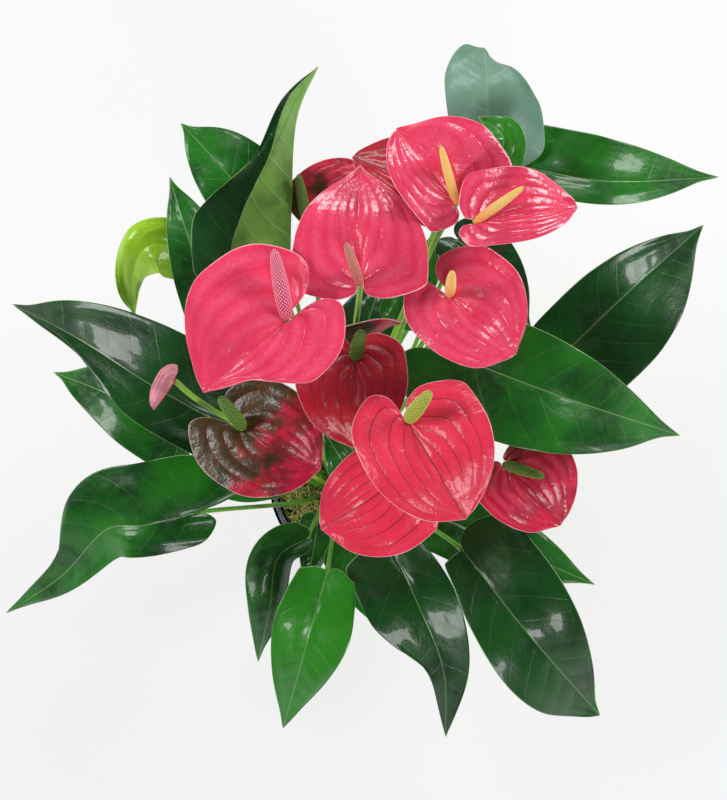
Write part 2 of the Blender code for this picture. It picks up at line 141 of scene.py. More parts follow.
LEAVES = (
    Blade(((-84, 22, 138), (-137, 48, 160), (-200, 91, 142), (-267, 135, 95)), (31, 46), (15, 6),
          outlines=(DRIP, HEART), finish="deep"),
    Blade(((-122, 18, 115), (-173, 50, 115), (-233, 81, 80)), (30, 30), (17, 15)),
    Blade(((-106, -47, 142), (-138, -56, 148), (-171, -57, 130), (-215, -86, 80), (-272, -111, 30)),
          (24, 46), (18, 44), sway=(0, -18), outlines=(HEART, DRIP), ripple=2.5),
    Blade(((-48, -8, 85), (-82, -13, 92), (-120, 2, 80)), (17, 17), (9, 9)),
    Blade(((-23, -57, 82), (-45, -72, 84), (-53, -110, 58), (-66, -149, 5)),
          (17, 22), (6, 8), (-30, 14), sway=(-8, 0), outlines=(EGG, EGG)),
    Blade(((-6, -87, 105), (-20, -135, 95), (-43, -202, 20)), (31, 29), (9, 6), outlines=(EGG, EGG),
          finish="bright"),
    Blade(((-16, -34, 30), (-20, -64, 35), (-27, -88, 20)), (15, 15), (7, 7), sway=(9, -3)),
    Blade(((11, -59, 54), (42, -103, 57), (77, -137, 16)), (25, 26), (12, 12), (4, 12)),
    Blade(((44, -67, 98), (62, -107, 108), (84, -157, 72), (89, -209, 15)), (30, 40), (6, 10),
          outlines=(EGG, DRIP), finish="deep"),
    Blade(((95, -74, 145), (140, -135, 152), (204, -191, 70)), (44, 36), (12, 4), sway=(0, 9),
          outlines=(HEART, PEAR), finish="deep"),
    Blade(((80, -37, 80), (140, -65, 85), (211, -89, 45)), (29, 29), (11, 11)),
    Blade(((80, 59, 205), (158, 23, 218), (261, 13, 142)), (39, 46), (3, 30), sway=(0, -16)),
    Blade(((175, 76, 145), (227, 123, 165), (296, 190, 130)), (33, 51), (14, 19), finish="deep"),
    Blade(((144, 222, 170), (209, 201, 185), (312, 232, 130)), (35, 22), (15, 15), (12, 25), sway=(14, -6)),
    Blade(((122, 227, 185), (115, 257, 215), (115, 305, 202)), (32, 40), (15, 20), sway=(-6, 5),
          outlines=(BLUNT, HEART), finish="bloom", ripple=4),
    Blade(((121, 204, 205), (124, 217, 225), (107, 239, 215)), (14, 18), (6, 6), (30, 20), sway=(18, -4),
          finish="bright"),
    Blade(((-33, 119, 180), (-29, 167, 225), (-25, 221, 245), (-11, 272, 230)), (76, 58), (15, 15),
          (0, 140), (-8, -10), outlines=(DRIP, DRIP), finish="deep"),
    Blade(((-59, 196, 135), (-90, 228, 155), (-128, 278, 135)), (29, 37), (12, 12)),
    Blade(((-98, 115, 125), (-115, 170, 150), (-135, 230, 135)), (21, 29), (8, 8)),
    Blade(((-122, 178, 110), (-150, 173, 128), (-168, 158, 100), (-175, 134, 50)), (27, 22), (7, 7),
          outlines=(DRIP, HEART), finish="young", ripple=4.5),
    Blade(((95, 160, 168), (125, 124, 178), (149, 92, 160)), (27, 23), (12, 12), sway=(-10, 8),
          finish="deep"),
    Blade(((52, 112, 128), (68, 140, 150), (78, 176, 152)), (20, 17), (8, 8), (25, 25), sway=(12, -12),
          finish="bright"),
    Blade(((14, 84, 84), (26, 118, 100), (40, 168, 92)), (30, 26), (12, 12), sway=(-6, 0), finish="deep"),
    Blade(((13, -11, 110), (3, 1, 130), (-9, 20, 135)), (15, 15), (6, 6)),
)

FLOWERS = (
    Flower(Blade(((-27, 58, 280), (-53, 32, 282), (-82, 14, 260)), (42, 58), (32, 34),
                 outlines=(DRIP, BROAD_HEART), finish="coral"),
           (-34, 94, 310), 5, "pink"),
    Flower(Blade(((20, 85, 272), (19, 123, 285), (20, 174, 265)), (44, 45), (9, 9), sway=(0, 16), outlines=(HEART, HEART),
                 finish="lacquer"), (11, 97, 312), 3.5, "salmon"),
    Flower(Blade(((83, 135, 288), (61, 156, 304), (44, 187, 292)), (26, 46), (8, 18), finish="lacquer"),
           (71, 160, 320), 3, "yellow"),
    # Painted shade: this flower and the seventh take the darker red finish of a spathe in the shade
    Flower(Blade(((80, 159, 245), (49, 172, 252), (14, 194, 238)), (25, 33), (11, 30), sway=(18, -4),
                 finish="shaded_crimson"), (62, 168, 262), 3, "yellow"),
    Flower(Blade(((94, 119, 295), (125, 119, 305), (163, 133, 285)), (32, 17), (8, 10), finish="lacquer"),
           (122, 129, 325), 3, "yellow"),
    Flower(Blade(((79, 80, 265), (101, 58, 268), (124, 44, 248)), (41, 35), (21, 24), sway=(8, -6),
                 finish="lacquer"), (78, 81, 304), 3.5, "yellow"),
    Flower(Blade(((16, 52, 215), (18, 16, 220), (20, -11, 202)), (36, 42), (17, 17), finish="shaded_crimson"),
           (21, 63, 242), 5),
    Flower(Blade(((51, -2, 252), (69, -37, 258), (89, -65, 235)), (46, 40), (14, 26), finish="veined"),
           (64, 7, 288), 5, "lime"),
    Flower(Blade(((47, -29, 185), (20, -48, 188), (-8, -62, 170)), (45, 34), (13, 11), finish="veined"),
           (52, -12, 208), 4, "lime"),
    Flower(Blade(((-62, 4, 205), (-34, -12, 210), (-8, -23, 192)), (40, 42), (21, 35), sway=(0, -14),
                 finish="aged"), (-74, 16, 242), 5),
    Flower(Blade(((123, -17, 180), (143, -39, 182), (164, -58, 162)), (40, 32), (6, 8), finish="fading"),
           (147, -31, 205), 4),
    Flower(Blade(((-19, 154, 215), (4, 173, 225), (31, 195, 210)), (28, 29), (2, 4), finish="aged"),
           (-24, 179, 242), 4),
    Flower(Blade(((-109, 34, 220), (-113, 24, 224), (-123, 15, 212)), (11, 11), (9, 9), (40, 40), (45, 45),
                 (-3, 1, 2), (0, 10), finish="coral", ripple=0), (-115, 31, 225), 0.8, "pink"),
    Flower(Blade(((3, 69, 198), (27, 75, 202), (51, 87, 192)), (14, 14), (7, 7), (0, 0), (-10, -10),
                 (0, -5, 1), finish="aged"), (13, 58, 206), 3),
)


def linear(code):
    """An sRGB hex colour as linear red, green and blue."""
    parts = [((code >> shift) & 255) / 255 for shift in (16, 8, 0)]
    return tuple(part / 12.92 if part <= 0.04045 else ((part + 0.055) / 1.055) ** 2.4 for part in parts)


def colour(name, code, description):
    return bpy.props.FloatVectorProperty(name=name, description=description, subtype="COLOR", size=3,
                                         min=0, max=1, default=linear(code))


def length(name, metres, description):
    return bpy.props.FloatProperty(name=name, description=description, subtype="DISTANCE", unit="LENGTH",
                                   min=0, default=metres)


class AnthuriumSizes(bpy.types.PropertyGroup):
    pot_radius: length("Pot radius", 0.060, "Outer radius of the pot at its rim")
    pot_taper: length("Pot taper", 0.014, "How much narrower the pot is at its foot")
    pot_wall: length("Pot wall", 0.009, "Thickness of the pot's wall and floor")
    pot_edge: length("Pot edge", 0.0025, "How far the rim's and foot's edges are rounded")
    leaf_thickness: length("Leaf thickness", 0.0007, "Thickness of a leaf blade")
    spathe_thickness: length("Spathe thickness", 0.0009, "Thickness of a spathe")
    petiole_radius: length("Petiole radius", 0.0018, "Radius of a leaf's stem")
    stalk_radius: length("Stalk radius", 0.0021, "Radius of a flower's stem")
    leaf_vein_depth: length("Leaf vein depth", 0.0005, "How deep a leaf's side veins are pressed in")
    spathe_vein_depth: length("Spathe vein depth", 0.0007, "How deep a spathe's veins are pressed in")
    moss_strands: bpy.props.IntProperty(name="Moss strands", default=2200, min=0,
                                        description="How many curly strands the moss has")


class AnthuriumColours(bpy.types.PropertyGroup):
    leaf_deep: colour("Leaf, deep", 0x0A3A12, "Darkest green of a grown leaf")
    leaf_mid: colour("Leaf, middle", 0x1F7018, "Middle green of a grown leaf")
    leaf_bright: colour("Leaf, bright", 0x2A8016, "Green of a fresh leaf")
    leaf_young: colour("Leaf, young", 0xA2D42C, "Yellow-green of a leaf that has just opened")
    leaf_bloom: colour("Leaf, bloom", 0x76988A, "Blue-green of a leaf with a waxy bloom")
    leaf_vein: colour("Leaf vein", 0x8DB070, "Pale green of the midribs and margins")
    leaf_under: colour("Leaf underside", 0x6EA23E, "Green of the undersides")
    spathe_coral: colour("Spathe, coral", 0xF23F66, "Coral pink of a fresh spathe")
    # Painted highlight: this paler pink is laid on the crests between a spathe's veins; mixed with the margin colour
    # it also gives the pale underside
    spathe_pink: colour("Spathe, pink", 0xF87E9C, "Paler pink between the veins")
    spathe_rose: colour("Spathe, rose", 0xE6304F, "Rose red of a spathe that is full grown")
    spathe_deep: colour("Spathe, deep", 0xCE1640, "Red in the furrows")
    spathe_shaded_crimson: colour("Spathe, crimson", 0xB81A2E, "Dark red of a spathe in the shade")
    spathe_vein: colour("Spathe vein", 0x6E0F1C, "Brownish red of the veins")
    spathe_aged: colour("Spathe, aged", 0x42300C, "Olive brown of a spathe that is fading")
    spathe_edge: colour("Spathe margin", 0xF2B8BC, "Pale pink of a spathe's margin and underside")
    spadix_pink: colour("Spadix, pink", 0xEE7E9C, "Pink spadix")
    spadix_salmon: colour("Spadix, salmon", 0xD79A86, "Salmon spadix")
    spadix_yellow: colour("Spadix, yellow", 0xFBE288, "Yellow spadix")
    spadix_green: colour("Spadix, green", 0x5F8A22, "Green spadix in fruit")
    spadix_lime: colour("Spadix, lime", 0xC2C84E, "Yellow-green spadix")
    stalk: colour("Stalk", 0x8CBF3C, "Lime green of the flower stalks")
    petiole: colour("Petiole", 0x74B03C, "Green of the leaf stems")
    stone: colour("Stone", 0x464C55, "Blue-grey of the cast stone pot")
    moss: colour("Moss", 0xB2BC58, "Olive green of the moss")
    moss_dry: colour("Moss, dry", 0xDCC692, "Tan of the moss's dry strands")
    soil: colour("Soil", 0x2A1E15, "Dark brown of the soil")
    crown: colour("Crown", 0x4E4A24, "Brown-green of the crown")
    floor: colour("Floor", 0xF4F4F4, "Pale grey of the floor")


# ---- Shader nodes ----

# Settings that many nodes share
MIX = {"data_type": "RGBA"}
SMOOTH = {"interpolation_type": "SMOOTHSTEP"}
PLUS = {"operation": "ADD"}
MINUS = {"operation": "SUBTRACT"}
TIMES = {"operation": "MULTIPLY"}
LARGER = {"operation": "MAXIMUM"}
SMALLER = {"operation": "MINIMUM"}
ZIGZAG = {"operation": "PINGPONG"}
# Where the colours of a Mix node come in and go out
FIRST, SECOND, MIXED = 6, 7, 2


def add(tree, kind, settings, inputs, out=0):
    """Adds a node with its settings and its inputs, each a socket or a value, and returns an output."""
    made = tree.nodes.new(kind)
    for key, value in settings.items():
        setattr(made, key, value)
    connect(tree, made, inputs)
    return made.outputs[out]


def connect(tree, node, inputs):
    """Gives a node its inputs, each a socket to link or a value to set."""
    for key, value in inputs.items():
        socket = node.inputs[key]
        if isinstance(value, bpy.types.NodeSocket):
            tree.links.new(value, socket)
        elif socket.type == "RGBA":
            socket.default_value = (*value, 1)
        else:
            socket.default_value = value


def start(name):
    """A new material: (material, its tree, its Principled node)."""
    made = bpy.data.materials.new(name)
    made.use_nodes = True
    return made, made.node_tree, made.node_tree.nodes["Principled BSDF"]


def speckle(tree, millimetres, detail, low, high, most=1.0):
    """Patches of a real size on the object, from 0 where the noise is low to the most where it is high."""
    spot = add(tree, "ShaderNodeTexCoord", {}, {}, "Object")
    raw = add(tree, "ShaderNodeTexNoise", {}, {"Vector": spot, "Scale": 1000 / millimetres, "Detail": detail})
    return add(tree, "ShaderNodeMapRange", SMOOTH,
               {"Value": raw, "From Min": low, "From Max": high, "To Max": most})


def blade_maps(tree):
    """What a blade's maps say: a vein's strength, its nearness, the margin, the rib and the lie."""
    veins = add(tree, "ShaderNodeUVMap", {"uv_map": "Veins"}, {})
    lie = add(tree, "ShaderNodeUVMap", {"uv_map": "Lie"}, {})
    edge = add(tree, "ShaderNodeUVMap", {"uv_map": "Edge"}, {})
    phase = add(tree, "ShaderNodeSeparateXYZ", {}, {0: veins})
    return {
        "strength": add(tree, "ShaderNodeSeparateXYZ", {}, {0: veins}, 1),
        "near": add(tree, "ShaderNodeMath", ZIGZAG, {0: phase, 1: 0.5}),
        "margin": add(tree, "ShaderNodeSeparateXYZ", {}, {0: edge}),
        "rib": add(tree, "ShaderNodeSeparateXYZ", {}, {0: edge}, 1),
        "lie": lie,
    }


class LeafLook(NamedTuple):
    """How a leaf's upper side looks: its colours, how clearly its lines show, its roughness and its wax."""
    deep: tuple
    mid: tuple
    vein: tuple
    lines: float
    rough: float
    coat: float


def leaf_upper(name, look):
    """A living leaf's upper side: a smooth waxy skin that gives broad soft highlights, with veins pressed in."""
    made, tree, node = start(name)
    maps = blade_maps(tree)
    ground = add(tree, "ShaderNodeMix", MIX, {0: speckle(tree, 55, 3, 0.32, 0.68), FIRST: look.deep,
                                              SECOND: look.mid}, MIXED)
    ground = add(tree, "ShaderNodeMix", MIX, {0: speckle(tree, 7, 4, 0.4, 0.6, 0.25), FIRST: ground,
                                              SECOND: look.mid}, MIXED)
    sunk = add(tree, "ShaderNodeMapRange", SMOOTH, {"Value": maps["near"], "From Max": 0.05, "To Min": 1.0,
                                                    "To Max": 0.0})
    sunk = add(tree, "ShaderNodeMath", TIMES, {0: sunk, 1: maps["strength"]})
    share = add(tree, "ShaderNodeMath", TIMES, {0: sunk, 1: look.lines * 0.14})
    ground = add(tree, "ShaderNodeMix", MIX, {0: share, FIRST: ground, SECOND: look.vein}, MIXED)
    share = add(tree, "ShaderNodeMapRange", SMOOTH, {"Value": maps["rib"], "From Min": 0.2, "From Max": 0.75,
                                                     "To Min": look.lines, "To Max": 0.0})
    ground = add(tree, "ShaderNodeMix", MIX, {0: share, FIRST: ground, SECOND: look.vein}, MIXED)
    share = add(tree, "ShaderNodeMapRange", SMOOTH, {"Value": maps["margin"], "From Min": 0.3,
                                                     "From Max": 0.8, "To Min": 0.65, "To Max": 0.0})
    ground = add(tree, "ShaderNodeMix", MIX, {0: share, FIRST: ground, SECOND: look.vein}, MIXED)
    drawn = add(tree, "ShaderNodeMapping", {}, {"Vector": maps["lie"], "Scale": (70, 150, 1)})
    creases = add(tree, "ShaderNodeTexNoise", {}, {"Vector": drawn, "Scale": 1.0, "Detail": 5.0,
                                                   "Roughness": 0.6, "Distortion": 0.8})
    grain = speckle(tree, 1.1, 2, 0.3, 0.7, 0.06)
    height = add(tree, "ShaderNodeMath", PLUS, {0: creases, 1: grain})
    furrow = add(tree, "ShaderNodeMath", TIMES, {0: sunk, 1: 0.25})
    height = add(tree, "ShaderNodeMath", MINUS, {0: height, 1: furrow})
    bump = add(tree, "ShaderNodeBump", {}, {"Height": height, "Strength": 0.6, "Distance": 0.0009})
    gloss = add(tree, "ShaderNodeMapRange", {}, {"Value": speckle(tree, 12, 3, 0.3, 0.7),
                                                 "To Min": look.rough - 0.06, "To Max": look.rough + 0.08})
    connect(tree, node, {"Base Color": ground, "Roughness": gloss, "Normal": bump, "IOR": 1.45,
                         "Specular IOR Level": 0.3, "Coat Weight": look.coat, "Coat Roughness": 0.09,
                         "Coat IOR": 1.42})
    return made


def underside(name, ground_colour, vein):
    """The underside of a leaf or a spathe: matt and pale, with its veins standing out."""
    made, tree, node = start(name)
    maps = blade_maps(tree)
    darker = tuple(part * 0.55 for part in ground_colour)
    ground = add(tree, "ShaderNodeMix", MIX, {0: speckle(tree, 25, 4, 0.35, 0.65), FIRST: darker,
                                              SECOND: ground_colour}, MIXED)
    side = add(tree, "ShaderNodeMapRange", SMOOTH, {"Value": maps["near"], "From Max": 0.07, "To Min": 0.5,
                                                    "To Max": 0.0})
    side = add(tree, "ShaderNodeMath", TIMES, {0: side, 1: maps["strength"]})
    rib = add(tree, "ShaderNodeMapRange", SMOOTH, {"Value": maps["rib"], "From Min": 0.5, "From Max": 1.4,
                                                   "To Min": 0.9, "To Max": 0.0})
    lines = add(tree, "ShaderNodeMath", LARGER, {0: side, 1: rib})
    ground = add(tree, "ShaderNodeMix", MIX, {0: lines, FIRST: ground, SECOND: vein}, MIXED)
    height = add(tree, "ShaderNodeMath", PLUS, {0: lines, 1: speckle(tree, 1.2, 3, 0.3, 0.7, 0.15)})
    bump = add(tree, "ShaderNodeBump", {}, {"Height": height, "Strength": 0.5, "Distance": 0.0006})
    connect(tree, node, {"Base Color": ground, "Normal": bump, "IOR": 1.42, "Roughness": 0.5})
    return made


class SpatheLook(NamedTuple):
    """How a spathe looks: its colours, among them the paler pink painted as a highlight on the crests between the
    veins, how dark its vein lines are, how far it has aged, and its gloss.
    """
    ground: tuple
    crest_highlight: tuple
    furrow: tuple
    lines: float
    age: float
    rough: float
    coat: float


def spathe_upper(name, look, colours):
    """A spathe's upper side: a thick lacquer-like skin over veined tissue, so highlights are sharp and streaky."""
    made, tree, node = start(name)
    maps = blade_maps(tree)
    # Painted highlight: the quilted crests between the veins are mixed towards a paler pink, as if they caught the
    # light
    crest_highlight = add(tree, "ShaderNodeMapRange", SMOOTH, {"Value": maps["near"], "From Min": 0.10, "From Max": 0.48,
                                                     "To Max": 0.25})
    crest_highlight = add(tree, "ShaderNodeMath", TIMES, {0: crest_highlight, 1: maps["strength"]})
    ground = add(tree, "ShaderNodeMix", MIX, {0: crest_highlight, FIRST: look.ground, SECOND: look.crest_highlight}, MIXED)
    ground = add(tree, "ShaderNodeMix", MIX, {0: speckle(tree, 22, 3, 0.4, 0.7, 0.35), FIRST: ground,
                                              SECOND: look.furrow}, MIXED)
    ground = add(tree, "ShaderNodeMix", MIX, {0: speckle(tree, 2.2, 3, 0.35, 0.65, 0.22), FIRST: ground,
                                              SECOND: look.furrow}, MIXED)
    if look.age:
        reach = add(tree, "ShaderNodeSeparateXYZ", {}, {0: maps["lie"]})
        ragged = add(tree, "ShaderNodeMath", PLUS, {0: reach, 1: speckle(tree, 18, 4, 0.2, 0.8, 0.05)})
        faded = add(tree, "ShaderNodeMapRange", SMOOTH, {
            "Value": ragged, "From Min": 0.03 * look.age, "From Max": 0.062 * look.age, "To Min": look.age,
            "To Max": 0.0})
        ground = add(tree, "ShaderNodeMix", MIX, {0: faded, FIRST: ground, SECOND: colours.spathe_aged[:]}, MIXED)
        dark = tuple(part * 0.35 for part in colours.spathe_aged)
        ground = add(tree, "ShaderNodeMix", MIX, {0: speckle(tree, 14, 4, 0.45, 0.6, 0.5 * look.age),
                                                  FIRST: ground, SECOND: dark}, MIXED)
    side = add(tree, "ShaderNodeMapRange", SMOOTH, {"Value": maps["near"], "From Max": 0.075, "To Min": 1.0,
                                                    "To Max": 0.0})
    side = add(tree, "ShaderNodeMath", TIMES, {0: side, 1: maps["strength"]})
    rib = add(tree, "ShaderNodeMapRange", SMOOTH, {"Value": maps["rib"], "From Min": 0.2, "From Max": 0.8,
                                                   "To Min": 1.0, "To Max": 0.0})
    lines = add(tree, "ShaderNodeMath", LARGER, {0: side, 1: rib})
    share = add(tree, "ShaderNodeMath", TIMES, {0: lines, 1: look.lines})
    ground = add(tree, "ShaderNodeMix", MIX, {0: share, FIRST: ground, SECOND: colours.spathe_vein[:]}, MIXED)
    share = add(tree, "ShaderNodeMapRange", SMOOTH, {"Value": maps["margin"], "From Min": 0.25,
                                                     "From Max": 0.8, "To Min": 0.7, "To Max": 0.0})
    ground = add(tree, "ShaderNodeMix", MIX, {0: share, FIRST: ground, SECOND: colours.spathe_edge[:]}, MIXED)
    quilt = add(tree, "ShaderNodeMath", PLUS, {0: speckle(tree, 9, 4, 0.2, 0.8), 1: speckle(tree, 2.5, 3, 0.3,
                                                                                           0.7, 0.18)})
    furrow = add(tree, "ShaderNodeMath", TIMES, {0: lines, 1: 0.3})
    height = add(tree, "ShaderNodeMath", MINUS, {0: quilt, 1: furrow})
    bump = add(tree, "ShaderNodeBump", {}, {"Height": height, "Strength": 0.5, "Distance": 0.0009})
    connect(tree, node, {"Base Color": ground, "Normal": bump, "Coat Normal": bump, "IOR": 1.45,
                         "Specular IOR Level": 0.35,
                         "Roughness": look.rough, "Coat Weight": look.coat, "Coat Roughness": 0.11,
                         "Coat IOR": 1.5})
    return made


class SpadixLook(NamedTuple):
    """The colours of a spadix: of its flowers, their stigmas, the furrows between them, which are partly their own
    darker tint and partly painted shade, and its base.
    """
    ground: tuple
    dot: tuple
    furrow: tuple
    base: tuple


def spadix_surface(name, look):
    """A spadix: hundreds of tiny flowers packed in two spirals, each a small cushion with a pale stigma."""
    made, tree, node = start(name)
    cells = add(tree, "ShaderNodeUVMap", {"uv_map": "Cells"}, {})
    near = []
    for way in (0, 1):
        part = add(tree, "ShaderNodeSeparateXYZ", {}, {0: cells}, way)
        near.append(add(tree, "ShaderNodeMath", ZIGZAG, {0: part, 1: 0.5}))
    gap = add(tree, "ShaderNodeMath", SMALLER, {0: near[0], 1: near[1]})
    middle = add(tree, "ShaderNodeMath", PLUS, {0: near[0], 1: near[1]})
    reach = add(tree, "ShaderNodeSeparateXYZ", {}, {0: add(tree, "ShaderNodeUVMap", {"uv_map": "Reach"}, {})})
    share = add(tree, "ShaderNodeMapRange", SMOOTH, {"Value": reach, "From Max": 0.6})
    ground = add(tree, "ShaderNodeMix", MIX, {0: share, FIRST: look.base, SECOND: look.ground}, MIXED)
    # Partly painted shade: the furrows between the small flowers are darkened, partly their own tint and partly the
    # shade that falls in them
    share = add(tree, "ShaderNodeMapRange", SMOOTH, {"Value": gap, "From Min": 0.06, "From Max": 0.24})
    ground = add(tree, "ShaderNodeMix", MIX, {0: share, FIRST: look.furrow, SECOND: ground}, MIXED)
    stigma = add(tree, "ShaderNodeMapRange", SMOOTH, {"Value": middle, "From Min": 0.68, "From Max": 0.90})
    ground = add(tree, "ShaderNodeMix", MIX, {0: stigma, FIRST: ground, SECOND: look.dot}, MIXED)
    height = add(tree, "ShaderNodeMath", PLUS, {0: gap, 1: stigma})
    bump = add(tree, "ShaderNodeBump", {}, {"Height": height, "Strength": 0.4, "Distance": 0.0005})
    connect(tree, node, {"Base Color": ground, "Normal": bump, "IOR": 1.42, "Roughness": 0.45})
    return made


def stem_surface(name, ground_colour, shade_colour):
    """A stem: a smooth green skin with faint streaks along it and a soft gloss."""
    made, tree, node = start(name)
    skin = add(tree, "ShaderNodeUVMap", {"uv_map": "Stem"}, {})
    wide = add(tree, "ShaderNodeMapping", {}, {"Vector": skin, "Scale": (14, 30, 1)})
    streaks = add(tree, "ShaderNodeTexNoise", {}, {"Vector": wide, "Scale": 1.0, "Detail": 3.0})
    share = add(tree, "ShaderNodeMapRange", {}, {"Value": streaks, "From Min": 0.4, "From Max": 0.65})
    ground = add(tree, "ShaderNodeMix", MIX, {0: share, FIRST: ground_colour, SECOND: shade_colour}, MIXED)
    bump = add(tree, "ShaderNodeBump", {}, {"Height": streaks, "Strength": 0.25, "Distance": 0.0003})
    connect(tree, node, {"Base Color": ground, "Normal": bump, "IOR": 1.45, "Roughness": 0.35})
    return made


def stone_surface(name, ground_colour):
    """Cast stone, tinted through: rough and matt, with pale grit and pits that its mould left."""
    made, tree, node = start(name)
    pale = tuple(min(1, part * 8) for part in ground_colour)
    dark = tuple(part * 0.5 for part in ground_colour)
    ground = add(tree, "ShaderNodeMix", MIX, {0: speckle(tree, 18, 6, 0.3, 0.7), FIRST: dark,
                                              SECOND: ground_colour}, MIXED)
    ground = add(tree, "ShaderNodeMix", MIX, {0: speckle(tree, 0.7, 2, 0.53, 0.62, 0.8), FIRST: ground,
                                              SECOND: pale}, MIXED)
    height = add(tree, "ShaderNodeMath", PLUS, {0: speckle(tree, 2.6, 5, 0.3, 0.42),
                                                1: speckle(tree, 0.9, 4, 0.2, 0.8, 0.4)})
    bump = add(tree, "ShaderNodeBump", {}, {"Height": height, "Strength": 0.7, "Distance": 0.0008})
    connect(tree, node, {"Base Color": ground, "Normal": bump, "IOR": 1.5, "Roughness": 0.88})
    return made


def earth_surface(name, ground_colour, pale, millimetres):
    """Peat, bark and roots: crumbs of different browns that scatter light and never shine."""
    made, tree, node = start(name)
    dark = tuple(part * 0.4 for part in ground_colour)
    ground = add(tree, "ShaderNodeMix", MIX, {0: speckle(tree, millimetres, 6, 0.35, 0.65),
                                              FIRST: ground_colour, SECOND: pale}, MIXED)
    ground = add(tree, "ShaderNodeMix", MIX, {0: speckle(tree, millimetres * 3, 3, 0.45, 0.6), FIRST: dark,
                                              SECOND: ground}, MIXED)
    bump = add(tree, "ShaderNodeBump", {}, {"Height": speckle(tree, millimetres, 8, 0.2, 0.8),
                                            "Strength": 1.0, "Distance": 0.001})
    connect(tree, node, {"Base Color": ground, "Normal": bump, "Roughness": 0.95, "IOR": 1.4})
    return made


def moss_surface(name, green, dry):
    """Reindeer moss and dried grass: matt curly strands, each of its own tone between olive and straw."""
    made, tree, node = start(name)
    strand = add(tree, "ShaderNodeUVMap", {"uv_map": "Stem"}, {})
    tone = add(tree, "ShaderNodeSeparateXYZ", {}, {0: strand}, 1)
    dark = tuple(part * 0.12 for part in green)
    share = add(tree, "ShaderNodeMapRange", {}, {"Value": tone, "From Max": 0.25})
    ground = add(tree, "ShaderNodeMix", MIX, {0: share, FIRST: dark, SECOND: green}, MIXED)
    share = add(tree, "ShaderNodeMapRange", {}, {"Value": tone, "From Min": 0.5, "From Max": 0.9})
    ground = add(tree, "ShaderNodeMix", MIX, {0: share, FIRST: ground, SECOND: dry}, MIXED)
    ground = add(tree, "ShaderNodeMix", MIX, {0: speckle(tree, 2.5, 3, 0.45, 0.65, 0.35), FIRST: ground,
                                              SECOND: dark}, MIXED)
    connect(tree, node, {"Base Color": ground, "Roughness": 0.9, "IOR": 1.4})
    return made


def leaf_looks(colours):
    """The upper and lower surface of each finish of leaf."""
    deep, mid, vein = colours.leaf_deep[:], colours.leaf_mid[:], colours.leaf_vein[:]
    bright, young, bloom = colours.leaf_bright[:], colours.leaf_young[:], colours.leaf_bloom[:]
    darkest = tuple(part * 0.7 for part in deep)
    lush = tuple(0.8 * first + 0.2 * second for first, second in zip(deep, mid))
    fresh = tuple(part * 0.7 for part in young)
    hazy = tuple(0.5 * (first + second) for first, second in zip(mid, bloom))
    looks = {
        "mature": LeafLook(deep, mid, vein, 0.45, 0.34, 0.35),
        "deep": LeafLook(darkest, lush, vein, 0.35, 0.34, 0.40),
        "bright": LeafLook(mid, bright, vein, 0.45, 0.32, 0.45),
        "young": LeafLook(fresh, young, young, 0.4, 0.30, 0.4),
        "bloom": LeafLook(hazy, bloom, vein, 0.25, 0.42, 0.1),
    }
    under = underside("leaf_underside", colours.leaf_under[:], vein)
    under_young = underside("leaf_underside_young", young, vein)
    return {key: (leaf_upper("leaf_cuticle_" + key, look), under_young if key == "young" else under)
            for key, look in looks.items()}


def spathe_looks(colours):
    """The upper and lower surface of each finish of spathe."""
    coral, pink, deep = colours.spathe_coral[:], colours.spathe_pink[:], colours.spathe_deep[:]
    shaded_crimson, edge, rose = colours.spathe_shaded_crimson[:], colours.spathe_edge[:], colours.spathe_rose[:]
    shade = tuple(part * 0.5 for part in shaded_crimson)
    looks = {
        "coral": SpatheLook(coral, pink, deep, 0.12, 0, 0.42, 0.35),
        "lacquer": SpatheLook(coral, pink, deep, 0.15, 0, 0.34, 0.8),
        # Painted shade: this finish gives spathes that sit in the shade a darker red ground
        "shaded_crimson": SpatheLook(shaded_crimson, deep, shade, 0.85, 0, 0.42, 0.3),
        "veined": SpatheLook(rose, coral, deep, 0.75, 0, 0.42, 0.35),
        "fading": SpatheLook(deep, pink, shaded_crimson, 0.6, 0.55, 0.36, 0.5),
        "aged": SpatheLook(deep, rose, shade, 0.7, 1.0, 0.40, 0.3),
    }
    pale = tuple(0.5 * (first + second) for first, second in zip(pink, edge))
    under = underside("spathe_underside", pale, deep)
    under_aged = underside("spathe_underside_aged", colours.spathe_aged[:], colours.spathe_vein[:])
    return {key: (spathe_upper("spathe_skin_" + key, look, colours), under_aged if look.age else under)
            for key, look in looks.items()}


def spadix_looks(colours):
    """The surface of each finish of spadix."""
    green, lime = colours.spadix_green[:], colours.spadix_lime[:]
    looks = {
        "pink": SpadixLook(colours.spadix_pink[:], linear(0xFFF4EC), linear(0xD03A68), linear(0xE0406A)),
        "salmon": SpadixLook(colours.spadix_salmon[:], linear(0xF2D8CC), linear(0xB04A44), linear(0xD8665C)),
        "yellow": SpadixLook(colours.spadix_yellow[:], linear(0xFFF6C0), linear(0xF0AC48), linear(0xF2682C)),
        "green": SpadixLook(green, linear(0xC0CC70), linear(0x1E4A12), green),
        "lime": SpadixLook(lime, linear(0xE6E89A), linear(0x6C8A20), lime),
    }
    return {key: spadix_surface("spadix_flowers_" + key, look) for key, look in looks.items()}


# ---- Shapes ----

def place_piece(name, mesh, surfaces, nodes):
    """Links a finished mesh as a piece of the plant that stands for CAD nodes."""
    made = bpy.data.objects.new(name, mesh)
    bpy.context.scene.collection.objects.link(made)
    for surface in surfaces:
        mesh.materials.append(surface)
    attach(made, BODY)
    if nodes:
        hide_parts(*nodes)
    return made


